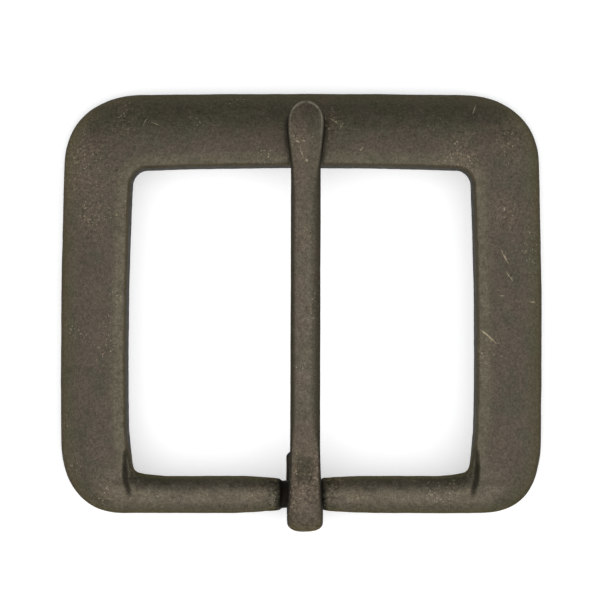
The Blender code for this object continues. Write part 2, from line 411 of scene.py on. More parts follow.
def rail_shade(y, across, height, reach):
    # Near-black painted shade on the steep inner wall.
    wall = (1 - ease(across, 0.22 * MM, 0.45 * MM)) * (1 - ease(height, 6.3 * MM, 6.72 * MM))
    # Thinner painted shade on the outer skirt.
    skirt = SKIRT_SHADE * ease(across, reach - 0.45 * MM, reach - 0.1 * MM)
    # Painted shade on the outer part of the far rail.
    far = FAR_EDGE_SHADE * ease(y, far_edge - 4.5 * MM, far_edge - 1.0 * MM)
    return np.maximum(WALL_SHADE * wall, np.maximum(skirt, far))


def bar_shade(x, y):
    # Painted shade on the bar's flank towards the opening, more beside the rails.
    shaded_flank = band(y, 0.3 * bar_radius, 0.65 * bar_radius, 0.75 * bar_radius, 1.0 * bar_radius)
    shaded_flank = shaded_flank * (BAR_FLANK_SHADE + MORE_BY_RAILS * ease(x, 9 * MM, 18 * MM))
    # Painted shadow of the hook and the shoulders on the neck.
    neck = 1 - ease(x, 2.4 * MM, 3.3 * MM)
    return np.maximum(shaded_flank, neck)


def painted_shade_at(x, y, across, height, reach, bar_share):
    grime_and_shade = mix(rail_shade(y, across, height, reach), bar_shade(x, y), bar_share)
    # Painted shade at the foot of the rails and in the crease.
    return np.maximum(np.maximum(grime_and_shade, FOOT_SHADE * foot_at(height)), CREASE_SHADE * crease(x, y))


print("the neck's grime is", float(bar_shade(0.0, 0.0)))

# %% [markdown]
# ## Grit and green
# No file reaches into the corners, the shoulders beside the neck or the foot of the rails,
# so the grit of the mould stays there. And where the brown was rubbed thin or collected
# damp, on the crest, round the rim, on the far rail and down the bar's flanks, the metal has
# turned a grey-green. These are the third and fourth numbers for each point.

# %% Gritty and green places on the frame
CORNER_GRIT, FOOT_GRIT = 0.6, 0.5
RIM_GREEN = 0.8


def grit_at(x, y, height, bar_share):
    corner = 1 - ease(np.hypot(x - opening_side + 0.9 * MM, y - 1.8 * MM), 0.4 * MM, 1.7 * MM)
    corner = CORNER_GRIT * corner * (1 - ease(x, opening_side, opening_side + 0.4 * MM))
    shoulder = bar_share * (1 - ease(x, 2.6 * MM, 5.4 * MM))
    return np.maximum(np.maximum(corner, shoulder), FOOT_GRIT * foot_at(height))


def green_at(y, across, height, reach, bar_share):
    rim = band(across, reach - 2.2 * MM, reach - 1.3 * MM, reach - 0.5 * MM, reach)
    far = ease(y, opening_end + 2 * MM, opening_end + 6 * MM)
    on_rail = np.maximum(np.maximum(crest_at(across, height), RIM_GREEN * rim), far)
    return mix(on_rail, 1 - bar_top_at(y, height), bar_share)


print("the shoulders' grit is", float(grit_at(0.0, 0.0, rail_height, 1.0)))

# %% [markdown]
# ## The rings of the frame
# Each station now becomes one ring: the rail's section and the bar's are blended by the
# station's last value, evened out, laid between the two edges, and creased. The four
# numbers are worked out for the same points, so they stay with the shape.

# %% Rings of the frame
def frame_ring(inner, outer, bar_share):
    """The ring's points, and its rubbed and highlighted, shaded, gritty and green places."""
    reach = math.dist(inner, outer)
    radius = min(bar_radius, bar_radius_at(inner[0])) if bar_share == 1.0 else bar_radius
    rail, bar = rail_outline(reach), bar_outline(reach, radius)
    across, height = even_ring(*(mix(r, b, bar_share) for r, b in zip(rail, bar)), RING_POINTS)
    heading = np.subtract(outer, inner) / reach
    x = inner[0] + heading[0] * across
    y = inner[1] + heading[1] * across
    height = height - CREASE_DEPTH * crease(x, y) * ease(height, 3 * MM, 5 * MM)
    points = np.stack([x, y + bar_middle.y, height], axis=1)
    marks = (
        rubbed_and_highlight_at(y, across, height, bar_share),
        painted_shade_at(x, y, across, height, reach, bar_share),
        grit_at(x, y, height, bar_share),
        green_at(y, across, height, reach, bar_share),
    )
    return points, np.stack(marks, axis=1)


rings, marks = zip(*(frame_ring(*station) for station in stations))
print(len(rings), "rings of", len(rings[0]), "points")

# %% [markdown]
# ## Skinning the rings
# A loft joins each ring to the next with a band of four-sided faces. Building the faces
# directly from a grid of numbers is quick and keeps them tidy: there are no stray points,
# and the last ring of the frame closes on the first. The prong uses the same helper with
# its two ends filled instead.

# %% Skin helper
MARK_NAMES = ("rubbed_and_highlight", "grime_and_shade", "grit", "green")


def skin(name, rings, marks, closed):
    """A mesh through rings of equally many points, with the marks kept on its points."""
    count, across = len(rings), len(rings[0])
    last = count if closed else count - 1
    faces = []
    for ring in range(last):
        here, following = ring * across, (ring + 1) % count * across
        for point in range(across):
            after = (point + 1) % across
            faces.append((here + point, here + after, following + after, following + point))
    if not closed:
        faces.append(tuple(reversed(range(across))))
        faces.append(tuple(range((count - 1) * across, count * across)))
    mesh = bpy.data.meshes.new(name)
    mesh.from_pydata(np.concatenate(rings).tolist(), [], faces)
    mesh.validate()
    for column, mark in enumerate(MARK_NAMES):
        layer = mesh.attributes.new(mark, "FLOAT", "POINT")
        layer.data.foreach_set("value", np.concatenate(marks)[:, column].astype(np.float32))
    mesh.shade_smooth()
    return mesh


def facing_out(mesh):
    """Turns the faces over if the skin was wound inside out. Gives the volume."""
    mesh.calc_loop_triangles()
    corners = np.array([[mesh.vertices[v].co[:] for v in t.vertices] for t in mesh.loop_triangles])
    volume = np.einsum("ij,ij->i", corners[:, 0], np.cross(corners[:, 1], corners[:, 2])).sum()
    if volume < 0:
        mesh.flip_normals()
    return abs(volume) / 6


print("each point carries", ", ".join(MARK_NAMES))

# %% [markdown]
# ## Spots of bare brass
# In a few places the darkening is worn right through: on corners that knock against things,
# and where a thumb holds the bar. These spots follow no rule of shape, so they can't be
# worked out from the section. A short list of soft round spots says where they are, and the
# finish breaks them up into flecks.

# %% Bare brass
BARE_SPOTS = (  # across and up as shares of the frame's reach, and the size of the spot
    (-0.91, 0.83, 3.0 * MM),
    (-0.87, 0.70, 1.6 * MM),
    (-0.73, 0.95, 1.5 * MM),
    (-0.82, 0.01, 1.2 * MM),
    (-0.19, 0.00, 0.8 * MM),
    (0.15, 0.02, 1.0 * MM),
    (0.23, 0.00, 0.9 * MM),
    (0.66, 0.84, 2.0 * MM),
    (0.86, 0.88, 1.7 * MM),
    (0.84, 0.70, 1.2 * MM),
    (0.74, 0.36, 0.9 * MM),
    (0.12, 0.92, 1.2 * MM),
)


def bare_brass(x, y, spots):
    """1 in the middle of a spot where brass shows through, fading out round it."""
    shown = 0 * x
    for across, up, size in spots:
        away = np.hypot(x - across * half_width, (y - up * far_edge) * 0.7) / size
        shown = np.maximum(shown, np.exp(-(away**2)))
    return shown


def note_bare_brass(mesh, spots):
    spot = np.array([vertex.co[:] for vertex in mesh.vertices])
    layer = mesh.attributes.new("bare", "FLOAT", "POINT")
    shown = bare_brass(spot[:, 0], spot[:, 1] - bar_middle.y, spots)
    layer.data.foreach_set("value", shown.astype(np.float32))


print(len(BARE_SPOTS), "spots of bare brass on the frame")

# %% [markdown]
# ## The cast frame
# The left half is the right half turned over, joined without repeating the two rings on the
# middle line. A real casting never comes out perfectly true. This one leans by a hair
# towards its far end, and one heel corner came out fuller than the other, so the finished
# ring gets the same faults.

# %% Build the cast frame
LEAN = 0.0026
FULLER_CORNER = 0.42 * MM


def turned_over(ring):
    return ring * (-1, 1, 1)


def leaning(ring):
    y = ring[:, 1] - bar_middle.y
    shift = LEAN * (y - SWELL_AT)
    at_heel = 1 - ease(y, -1.6 * MM, 4.0 * MM)
    shift = shift + FULLER_CORNER * at_heel * ease(ring[:, 0], 20 * MM, 25 * MM)
    return ring + np.stack([shift, 0 * shift, 0 * shift], axis=1)


whole = [*rings, *(turned_over(ring) for ring in reversed(rings[1:-1]))]
whole = [leaning(ring) for ring in whole]
frame_mesh = skin("cast_frame", whole, [*marks, *reversed(marks[1:-1])], closed=True)
note_bare_brass(frame_mesh, BARE_SPOTS)
print(f"frame: {facing_out(frame_mesh) / MM**3:.0f} cubic mm of brass")

# %% [markdown]
# ## The uneven skin of a casting
# Sand-cast and then hand-finished metal is never glass smooth: it has slow waves from the
# filing, finer lumps from the mould, and coarse grit in the places that no file reaches.
# Moving the mesh points along their normals makes the waves and lumps real, so that they
# show in the outline and from every side. The finest grain is left to the finish. The back
# stays flat, because it has to lie on the table.

# %% Roughen a casting
WAVES = ((5.0 * MM, 0.040 * MM), (1.7 * MM, 0.022 * MM), (0.8 * MM, 0.010 * MM))
GRIT_SIZE, GRIT_DEPTH, GRIT_TEXTURE = 0.55 * MM, 0.075 * MM, 7
TEXTURES_APART = Vector((17.0, 5.0, 11.0))
FLAT_BACK = 1.0 * MM  # the unevenness fades in over this height


def lump(spot, size, which):
    return noise.noise(spot / size + which * TEXTURES_APART)


def roughen(mesh, amount, flat_back=0.0):
    normals = [Vector(normal.vector) for normal in mesh.vertex_normals]
    grit = mesh.attributes["grit"].data
    for vertex, normal in zip(mesh.vertices, normals):
        spot = vertex.co.copy()
        out = sum(depth * lump(spot, size, n) for n, (size, depth) in enumerate(WAVES))
        out += grit[vertex.index].value * GRIT_DEPTH * lump(spot, GRIT_SIZE, GRIT_TEXTURE)
        held = 1.0 if flat_back == 0.0 else float(ease(spot.z, 0.0, flat_back))
        vertex.co = spot + normal * (out * amount * held)


roughen(frame_mesh, 1.0, flat_back=FLAT_BACK)
print("frame roughened at", len(frame_mesh.vertices), "points")

# %% [markdown]
# ## The prong's middle line
# The prong is a bar of the same metal: a flat shank with a wider, rounded tip that bends
# down over the far rail, and at its other end a hook that is closed round the neck of the
# bar. It could be a curve with a bevel, but its thickness and width change all along. So
# it is lofted too, from the tip, down the shank and round the hook to the end of the tail.
# Everything is measured from the bar's middle line, which it turns on. First come its
# height, thickness and width at each place.

# %% Height, thickness and width of the prong
HOOK_PLAY = 0.3 * MM  # room between the hook and the neck
HOOK_INNER = NECK_RADIUS + HOOK_PLAY
HOOK_WALL, SHANK_WALL, TIP_WALL = 2.5 * MM, 2.1 * MM, 2.3 * MM
SHANK_WIDTH, TIP_WIDTH = 3.50 * MM, 4.52 * MM
TIP_ROUND, TIP_SPREAD = 2.4 * MM, 5.8 * MM
TIP_DROP, TIP_SHORT = 1.5 * MM, 0.46 * MM
RAIL_PLAY = 0.12 * MM
tip_y = prong_high.y - bar_middle.y - TIP_SHORT
crest_y = opening_end + CREST_INSET
clear_of_rail = rail_height - bar_middle.z + RAIL_PLAY


def underside(y):
    """Height of the shank's underside above the bar's middle line."""
    if y <= crest_y:
        return mix(HOOK_INNER, clear_of_rail, y / crest_y)
    return clear_of_rail - TIP_DROP * ((y - crest_y) / (tip_y - crest_y)) ** 2


def wall_at(y):
    if y <= crest_y:
        return mix(HOOK_WALL, SHANK_WALL, y / crest_y)
    return mix(SHANK_WALL, TIP_WALL, (y - crest_y) / (tip_y - crest_y))


def width_at(y):
    """The shank's width, which grows towards the tip."""
    return mix(TIP_WIDTH, SHANK_WIDTH, ease((tip_y - TIP_ROUND - y) / TIP_SPREAD))


print(f"the prong reaches {tip_y / MM:.1f} mm from the middle of the bar")

# %% [markdown]
# ## Stations down the shank and round the tip
# The shank is a run of even stations, a little wider where it leaves the hook, and the whole
# of it leans aside by a hair. The tip is filed round in plan but stays thick nearly to its
# end, so its stations follow a quarter of a circle and crowd together towards the end.

# %% Stations along the shank and the tip
HOOK_NECK, SHANK_FLARE = 3.84 * MM, 6.0 * MM
TIP_SHIFT = 0.13 * MM
LAST_TURN = math.radians(87.5)  # just short of a point
TIP_THINNING = 0.4


def shank_station(y, narrowed=1.0, thinned=1.0):
    width = mix(HOOK_NECK, width_at(y), ease(y / SHANK_FLARE)) * narrowed
    half = wall_at(y) / 2
    return (TIP_SHIFT * y / tip_y, y, underside(y) + half, width / 2, half * thinned)


def tip_stations(steps=26):
    for turn in np.linspace(LAST_TURN, 0, steps):
        y = tip_y - TIP_ROUND * (1 - math.sin(turn))
        thinned = mix(math.cos(turn) ** 0.6, 1.0, TIP_THINNING)
        yield shank_station(y, math.cos(turn), thinned)


shank = [shank_station(y) for y in np.linspace(tip_y - TIP_ROUND, 0, 120)[1:-1]]
print(len(shank), "stations along the shank")

# %% [markdown]
# ## The hook and its tail
# The hook was hammered closed round the neck, which spread its back a little, and it thins
# towards its tail. The tail runs on straight until it is just under the shank, and ends
# blunt. The stations turn about the neck's middle with the same gap all the way round, and
# that gap is what lets the prong swing.

# %% Stations round the hook and up the tail
HOOK_WIDTH, TAIL_WIDTH = 4.22 * MM, 3.4 * MM
TAIL_WALL, TAIL_GAP, TAIL_SHIFT = 1.5 * MM, 0.3 * MM, -0.5 * MM
TAIL_ANGLE = math.radians(315)


def hook_station(turn):
    thinned = ease(turn, math.pi, TAIL_ANGLE)
    half = mix(HOOK_WALL, TAIL_WALL, thinned) / 2
    swell = ease(turn, 0.45 * math.pi, 0.72 * math.pi)
    width = mix(mix(HOOK_NECK, HOOK_WIDTH, swell), TAIL_WIDTH, thinned)
    radius = HOOK_INNER + half
    spot = radius * math.cos(turn), radius * math.sin(turn)
    return (TAIL_SHIFT * thinned, *spot, width / 2, half)


def tail_stations(steps=14):
    shift, y, z, width, half = hook_station(TAIL_ANGLE)
    run, rise = -math.sin(TAIL_ANGLE), math.cos(TAIL_ANGLE)
    length = (HOOK_INNER - TAIL_GAP - half * run - z) / rise
    for share in np.linspace(0, 1, steps)[1:]:
        blunt = math.sqrt(1 - (0.7 * ease(share, 0.8, 1.0)) ** 2)
        spot = y + run * length * share, z + rise * length * share
        yield (shift, *spot, width * blunt, half * blunt)


hook = [hook_station(turn) for turn in np.linspace(math.pi / 2, TAIL_ANGLE, 84)]
prong_line = [*tip_stations(), *shank, *hook, *tail_stations()]
print(len(prong_line), "stations along the prong")

# %% [markdown]
# ## The prong's section
# Its section is a flat bar with eased edges, set square to the middle line. The top of the
# hook is dished a little where it was struck to close it.

# %% Section of the prong
PRONG_RING = 60
SHANK_SQUARE, HOOK_SQUARE = 3.1, 2.5
DISH_DEPTH = 0.13 * MM


def prong_section(y, z, half_across, half):
    """Across and outwards, how much each point faces out, and how deep it is dished."""
    power = mix(HOOK_SQUARE, SHANK_SQUARE, ease(y, -1 * MM, 4 * MM))
    square = spread(np.cos(circle), power), spread(np.sin(circle), power)
    across, out = even_ring(half_across * square[0], half * square[1], PRONG_RING)
    face = ease(out / half, 0.75, 0.97)
    on_shank = 1.0 if z > 0 else 0.0
    dish = band(y, 1.3 * MM, 2.2 * MM, 4.4 * MM, 4.9 * MM) * on_shank
    dish = dish * (1 - ease(np.abs(across) / half_across, 0.3, 0.75)) * face
    return across, out - DISH_DEPTH * dish, face, dish


print(f"the dish is {DISH_DEPTH / MM} mm deep")

# %% [markdown]
# ## Where the prong is rubbed, and its painted highlights
# The belt and the cloth have rubbed the prong in three places: along the top of the shank,
# on the back of the hook, and in a thin bright line round the rim of the tip. A lighter ridge
# just right of the shank's middle is a painted highlight, and the bright line round the tip is
# partly a painted highlight too. Places across the prong are given as shares of its half
# width, because its width changes.

# %% Rubbed and highlighted places on the prong
# The ridge's strength is a painted highlight; the shank's and the hook's are wear.
RUBBED_SHANK, RIDGE_HIGHLIGHT, RUBBED_HOOK = 0.1, 0.12, 0.15


# Wear on the shank's top and the hook's back, and a painted highlight along a ridge.
def shank_wear_and_highlight(y, across, face):
    ridge = band(across, 0.02, 0.2, 0.28, 0.5)
    shank_top = (RUBBED_SHANK + RIDGE_HIGHLIGHT * ridge) * face
    shank_top = shank_top * (1 - ease(y, 30 * MM, 38 * MM)) * ease(y, 6 * MM, 12 * MM)
    return np.maximum(shank_top, RUBBED_HOOK * face * (1 - ease(y, -3.0 * MM, 1.5 * MM)))


def rim_wear_and_highlight(y, across, side, lift):
    """The bright line just inside the outline of the tip: edge wear and a painted highlight."""
    from_end = max(0.0, y - tip_y + TIP_ROUND) / TIP_ROUND
    outline = np.hypot(np.abs(across) / (TIP_WIDTH / 2), from_end) if from_end > 0 else side
    rim = band(outline, 0.78, 0.84, 0.88, 0.93) * ease(lift, 0.5, 0.85)
    return rim * ease(y, 38 * MM, 44 * MM)


print("the hook's back is rubbed", float(shank_wear_and_highlight(-3 * MM, 0.0, 1.0)))

# %% [markdown]
# ## Where the prong is shaded
# Its sides, the inside of the hook and the seam under the shank get painted shade, and the
# dish holds a little grime. The four numbers are the same ones as on the frame, and in the
# same order, so one finish serves both pieces.

# %% Painted shade, grime, grit and green on the prong
# The first strength is painted shade underneath and inside the hook; the dish's is grime.
UNDERSIDE_SHADE, DISH_GRIME, HOOK_GRIT = 0.8, 0.35, 0.5


def flank_shade(y, across, side):
    """Painted shade on the sides, which reaches further up the face beside the opening than at the
    ends.
    """
    on_shank = band(y, 5 * MM, 9 * MM, 34 * MM, 40 * MM)
    starts = mix(0.80, np.where(across > 0, 0.30, 0.60), on_shank)
    return ease(side, starts, mix(0.96, 0.84, on_shank)) * mix(1.0, 0.62, on_shank)


def green_prong(y, across, shaded_flank, dish):
    ends = max(0.3 * ease(y, 38 * MM, 43 * MM), 0.5 - 0.5 * ease(y, -3 * MM, -0.5 * MM))
    cool_side = band(across, -0.1, 0.3, 0.9, 1.0) * ease(y, 6 * MM, 12 * MM)
    return np.maximum(0.9 * np.maximum(dish, ends), np.maximum(0.7 * cool_side, shaded_flank))


def prong_marks(y, across, half_across, lift, face, dish):
    side = np.abs(across) / half_across
    rim = rim_wear_and_highlight(y, across, side, lift)
    rubbed_and_highlight = np.maximum(rim, shank_wear_and_highlight(y, across / half_across, face))
    # Painted shade on the underside and inside the hook, and on the sides.
    shaded_underside = (1 - ease(lift, -0.4, 0.5)) * UNDERSIDE_SHADE
    shaded_flank = flank_shade(y, across, side)
    grime_and_shade = np.maximum(np.maximum(shaded_underside, shaded_flank), DISH_GRIME * dish)
    grit = np.full_like(side, float(1 - ease(y, 2 * MM, 5 * MM)) * HOOK_GRIT)
    return rubbed_and_highlight, grime_and_shade, grit, green_prong(y, across / half_across, shaded_flank, dish)


print("the prong carries the same marks:", ", ".join(MARK_NAMES))

# %% [markdown]
# ## The hooked prong
# Each station needs its neighbours, because the section is set square to the way the middle
# line runs there. The two ends of the skin are closed with one flat face each. A hammered
# bar is smoother than a casting, so it gets only part of the frame's unevenness.

# %% Build the hooked prong
PRONG_UNEVENNESS = 0.6
PRONG_SPOTS = (
    (-0.04, 0.06, 1.9 * MM),
    (0.06, 0.05, 2.0 * MM),
    (-0.03, 0.00, 1.8 * MM),
    (-0.01, 0.885, 1.2 * MM),
    (0.02, 0.64, 0.8 * MM),
)


def prong_ring(before, here, after):
    shift, y, z, half_across, half = here
    run, rise = after[1] - before[1], after[2] - before[2]
    length = math.hypot(run, rise)
    across, out, face, dish = prong_section(y, z, half_across, half)
    points = np.stack(
        [
            bar_middle.x + shift + across,
            bar_middle.y + y + rise / length * out,
            bar_middle.z + z - run / length * out,
        ],
        axis=1,
    )
    return points, np.stack(prong_marks(y, across, half_across, out / half, face, dish), axis=1)


padded = [prong_line[0], *prong_line, prong_line[-1]]
prong_parts = [prong_ring(*padded[n : n + 3]) for n in range(len(prong_line))]
prong_mesh = skin("hooked_prong", *zip(*prong_parts), closed=False)
note_bare_brass(prong_mesh, PRONG_SPOTS)
print(f"prong: {facing_out(prong_mesh) / MM**3:.0f} cubic mm of brass")
roughen(prong_mesh, PRONG_UNEVENNESS)

# %% [markdown]
# ## The prong's painted shadow on the rail
# A thin dark line is painted on the far rail along each side of the resting prong, as a painted
# contact shadow. It is added to the frame's marks here, where the prong's width is known, and
# it stays on the rail when the prong swings away.

# %% Painted shadow beside the resting prong
PRONG_SHADOW = 0.65


# Painted contact shadow of the resting prong, along each of its sides on the far rail.
def prong_shadow_at(x, y, z):
    out = abs(x - TIP_SHIFT * y / tip_y) - width_at(y) / 2
    beside = band(out, -0.45 * MM, -0.1 * MM, 0.10 * MM, 0.45 * MM)
    along = band(y, opening_end, opening_end + MM, tip_y - 2.6 * MM, tip_y - 0.8 * MM)
    return PRONG_SHADOW * float(beside * along * ease(z, 2 * MM, 4 * MM))


# The painted shadow is added to the frame's shade marks.
grime_and_shade_layer = frame_mesh.attributes["grime_and_shade"].data
for vertex, grime_and_shade in zip(frame_mesh.vertices, grime_and_shade_layer):
    grime_and_shade.value = max(grime_and_shade.value, prong_shadow_at(*(vertex.co - Vector((*bar_middle.xy, 0.0)))))
print(f"the rail is sheltered for {(tip_y - opening_end) / MM:.1f} mm beside the prong")

# %% [markdown]
# ## Put the two pieces in the scene
# Each mesh becomes an object at the origin, because its points already lie in their true
# places. Both stand for the measured pieces of the same form, so those are hidden, and each
# new piece rides on the body that it belongs to: the frame stays still, and the prong turns
# with the hinge.

# %% Place, ride and replace
def stand_in(mesh, body, node):
    piece = bpy.data.objects.new(mesh.name, mesh)
    bpy.context.scene.collection.objects.link(piece)
    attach(piece, body)
    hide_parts(node)
    print(piece.name, "stands for", node, "and rides on", body)
    return piece


cast_frame = stand_in(frame_mesh, "frame", "buckle_frame")
hooked_prong = stand_in(prong_mesh, "prong", "prong")

# %% [markdown]
# ## Building a finish from nodes
# A finish is a small graph: textures go in at the left, and colour, roughness and bumps come
# out into one metal shader at the right. The graph is clearer with short helpers that add a
# node and wire it in one line. `wire` accepts either another node's output or a plain value,
# and `mark` reads one of the numbers that were noted on the points.

# %% Wiring helpers
def wire(tree, value, socket):
    if isinstance(value, bpy.types.NodeSocket):
        tree.links.new(value, socket)
    else:
        socket.default_value = value


def sums(tree, kind, first, second, clamp=False):
    made = tree.nodes.new("ShaderNodeMath")
    made.operation, made.use_clamp = kind, clamp
    wire(tree, first, made.inputs[0])
    wire(tree, second, made.inputs[1])
    return made.outputs[0]


def times(tree, first, second):
    return sums(tree, "MULTIPLY", first, second)


def layer(tree, share, under, over, kind="MIX"):
    made = tree.nodes.new("ShaderNodeMix")
    made.data_type, made.blend_type = "RGBA", kind
    made.clamp_factor = True
    wire(tree, share, made.inputs["Factor"])
    wire(tree, under, made.inputs[6])
    wire(tree, over, made.inputs[7])
    return made.outputs[2]


def mark(tree, name):
    made = tree.nodes.new("ShaderNodeAttribute")
    made.attribute_name = name
    return made.outputs["Fac"]


print("wiring helpers ready")

# %% [markdown]
# ## Clouds and windows
# Two helpers do most of the work. A cloudy texture gives numbers that drift between 0 and 1,
# with lumps of a chosen size. A window picks a part of that range and eases across it, which
# turns the clouds into patches as soft or as sharp as the metal shows.

# %% Texture helpers
def grain(tree, where, size, detail=3.0, roughness=0.6, warp=0.0):
    """Cloudy texture whose lumps are about size across. Gives 0 to 1."""
    made = tree.nodes.new("ShaderNodeTexNoise")
    wire(tree, where, made.inputs["Vector"])
    made.inputs["Scale"].default_value = 1 / size
    made.inputs["Detail"].default_value = detail
    made.inputs["Roughness"].default_value = roughness
    made.inputs["Distortion"].default_value = warp
    return made.outputs["Fac"]


def window(tree, value, low, high, to_low=0.0, to_high=1.0):
    """Eases from to_low to to_high as value goes from low to high."""
    made = tree.nodes.new("ShaderNodeMapRange")
    made.interpolation_type = "SMOOTHSTEP"
    for number, given in enumerate((value, low, high, to_low, to_high)):
        wire(tree, given, made.inputs[number])
    return made.outputs["Result"]


print("texture helpers ready")

# %% [markdown]
# ## Flecks and scratches
# Bare brass shows in two ways: as tiny torn flecks, and as a few short scratches where the
# buckle was knocked. A fleck starts as a round dot in its own cell of a cell texture, and
# pushing the cells about a little tears its edge. A scratch is one stretched dot, turned
# and set in its place.

# %% Helpers for flecks and scratches
def specks(tree, where, spacing, radius, share, cluster):
    """Dots of mixed sizes, kept in only a share of the cells and where they cluster."""
    made = tree.nodes.new("ShaderNodeTexVoronoi")
    wire(tree, where, made.inputs["Vector"])
    made.inputs["Scale"].default_value = 1 / spacing
    split = tree.nodes.new("ShaderNodeSeparateColor")
    wire(tree, made.outputs["Color"], split.inputs[0])
    edge = window(tree, split.outputs[1], 0.0, 1.0, 0.45 * radius / spacing, radius / spacing)
    inside = sums(tree, "SUBTRACT", edge, made.outputs["Distance"])
    dot = window(tree, inside, 0.0, 0.3 * radius / spacing)
    chosen = window(tree, split.outputs[0], share, 0.98 * share)
    return times(tree, times(tree, dot, chosen), cluster)


def ragged(tree, where, size, by):
    """The same places pushed about a little, so that round dots turn into torn flecks."""
    made = tree.nodes.new("ShaderNodeTexNoise")
    wire(tree, where, made.inputs["Vector"])
    made.inputs["Scale"].default_value = 1 / size
    pushed = tree.nodes.new("ShaderNodeVectorMath")
    pushed.operation = "MULTIPLY_ADD"
    wire(tree, made.outputs["Color"], pushed.inputs[0])
    pushed.inputs[1].default_value = (by, by, by)
    wire(tree, where, pushed.inputs[2])
    return pushed.outputs[0]


NICK_DEPTH = 15 * MM  # more than the buckle's height, so that a scratch meets the face


def nick(tree, where, place, length, width, angle):
    """One scratch, fullest in its middle, as if a buckle had been knocked there."""
    turned = tree.nodes.new("ShaderNodeMapping")
    turned.vector_type = "TEXTURE"
    wire(tree, where, turned.inputs["Vector"])
    turned.inputs["Location"].default_value = place
    turned.inputs["Rotation"].default_value = (0.0, 0.0, math.radians(angle))
    turned.inputs["Scale"].default_value = (length / 2, width / 2, NICK_DEPTH)
    away = tree.nodes.new("ShaderNodeVectorMath")
    away.operation = "LENGTH"
    wire(tree, turned.outputs["Vector"], away.inputs[0])
    return window(tree, away.outputs["Value"], 0.5, 1.0, 1.0, 0.0)


print("fleck and scratch helpers ready")

# %% [markdown]
# ## Antiqued brass, from clouds
# Up close the finish is not one brown. Darkening never takes evenly: it leaves patches a few
# millimetres wide, smaller blotches, a mottle, and a grain about as fine as a hair. Cloudy
# textures of four sizes stand for these, and every later layer is broken up by them. The
# seed slides them, so that the two pieces don't share one pattern.

# %% Clouds of four sizes
PATCH, BLOTCH, MOTTLE, FINE = 3.2 * MM, 1.1 * MM, 0.34 * MM, 0.13 * MM


def clouds(tree, seed):
    here = tree.nodes.new("ShaderNodeTexCoord").outputs["Object"]
    slid = tree.nodes.new("ShaderNodeMapping")
    slid.inputs["Location"].default_value = (seed * MM, 2 * seed * MM, 3 * seed * MM)
    wire(tree, here, slid.inputs["Vector"])
    spot = slid.outputs["Vector"]
    return SimpleNamespace(
        here=here,
        spot=spot,
        patch=grain(tree, spot, PATCH, detail=3, roughness=0.55, warp=0.6),
        blotch=grain(tree, spot, BLOTCH, detail=4, roughness=0.65, warp=0.3),
        mottle=grain(tree, spot, MOTTLE, detail=3, roughness=0.7),
        fine=grain(tree, spot, FINE, detail=2, roughness=0.6),
    )


print(f"clouds from {PATCH / MM:.1f} mm down to {FINE / MM:.2f} mm")

# %% [markdown]
# ## Worn and shaded places
# The numbers that were noted on the points are smooth, and real wear isn't. So each is
# multiplied by a cloud before it is used: polish and the painted highlights skip some of the
# blotches, grime and painted shade lie unevenly, and grit is pitted. Only the darkest painted
# shade, on the inner walls and the neck, turns near-black, which hides nearly all of the metal.

# %% Worn and shaded places
PITTING = 0.5 * MM


def worn_places(tree, cloud):
    """How rubbed and highlighted, warm, grimy and shaded, pitted and deeply shaded each place is.
    """
    grime_and_shade = mark(tree, "grime_and_shade")
    rubbed_and_highlight = window(tree, cloud.blotch, 0.32, 0.62, 0.45, 1.0)
    warmed = window(tree, cloud.mottle, 0.35, 0.6, 0.0, 0.5)
    dark_cover = window(tree, cloud.mottle, 0.2, 0.6, 0.7, 1.0)
    pitted = window(tree, grain(tree, cloud.spot, PITTING, 3, 0.6), 0.48, 0.58, 0.0, 0.75)
    return SimpleNamespace(
        # Wear and painted highlights, broken up by the blotches.
        rubbed_and_highlight=times(tree, mark(tree, "rubbed_and_highlight"), rubbed_and_highlight),
        warmed=times(tree, mark(tree, "bare"), warmed),
        # Grime and painted shade, broken up by the mottle.
        dark_cover=times(tree, grime_and_shade, dark_cover),
        pitted=times(tree, mark(tree, "grit"), pitted),
        # The near-black painted deep shade, where the painted shade is darkest.
        deep_shade=window(tree, grime_and_shade, 0.93, 0.99),
    )


print("worn places are read from", ", ".join((*MARK_NAMES, "bare")))

# %% [markdown]
# ## Colour in layers
# The colours are laid in the order in which the real ones came to the metal, with the painted
# light laid among them: brown and olive patches from the darkening, grey-green where it
# thinned, a lighter tone where the cloth rubbed, which also carries the painted highlights,
# warm brass where it is worn through, then grime and painted shade, pits, and a near-black
# painted deep shade. Mixing them in one sum would be shorter, but then no layer could cover
# another. Colours are plain linear values, so they can be compared directly.

# %% Ground, wear, grime and painted shade
WARM_BRASS = (0.132, 0.101, 0.070, 1)
# Near-black painted deep shade, for the inner walls and the neck.
DEEP_SHADE = (0.006, 0.004, 0.003, 1)


def ground(tree, cloud, brown, olive, green):
    colour = layer(tree, window(tree, cloud.patch, 0.43, 0.68), brown, olive)
    patchy = window(tree, cloud.patch, 0.3, 0.55, 0.4, 1.0)
    return layer(tree, times(tree, mark(tree, "green"), patchy), colour, green)


def unevenness(tree, cloud):
    """Lighter and darker by up to a quarter, at three sizes at once."""
    light = window(tree, cloud.blotch, 0.25, 0.75, 0.84, 1.16)
    light = times(tree, light, window(tree, cloud.mottle, 0.25, 0.75, 0.77, 1.25))
    return times(tree, light, window(tree, cloud.fine, 0.25, 0.75, 0.74, 1.26))


